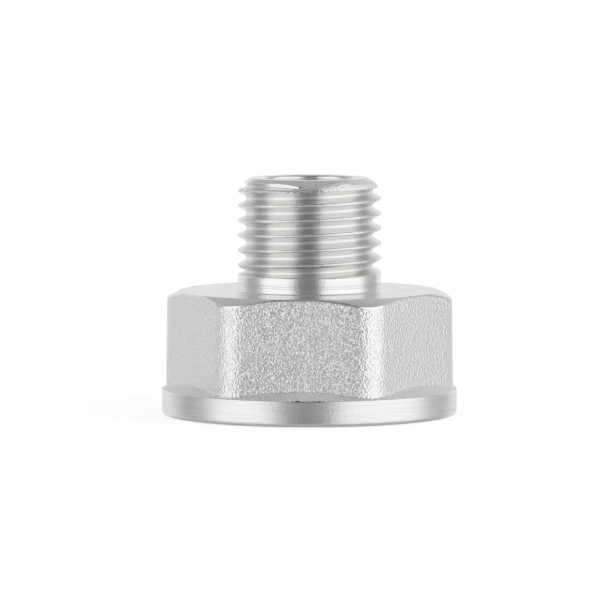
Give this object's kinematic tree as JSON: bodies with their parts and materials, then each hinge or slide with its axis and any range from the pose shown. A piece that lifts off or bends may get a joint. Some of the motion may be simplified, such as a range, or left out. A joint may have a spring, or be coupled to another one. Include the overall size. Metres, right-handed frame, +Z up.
{
  "type": "hex bushing",
  "caption": "Hex reducing bushing for pipework, with a male thread on its nose, a collar, a hexagon to turn it by and a larger female thread in its banded foot.",
  "frame": {"origin": "middle of the flat bottom face that it stands on", "axes": "+Z up the axis of both threads and the bore, out of the nose; one flat of the hexagon faces -Y"},
  "size_m": [0.0266, 0.0266, 0.0213],
  "materials": {
    "nickel_plate": "satin nickel plate, turned bright on the nose and blasted matt on the hexagon"
  },
  "bodies": {
    "root": {"bushing_body": "nickel_plate"}
  },
  "joints": []
}
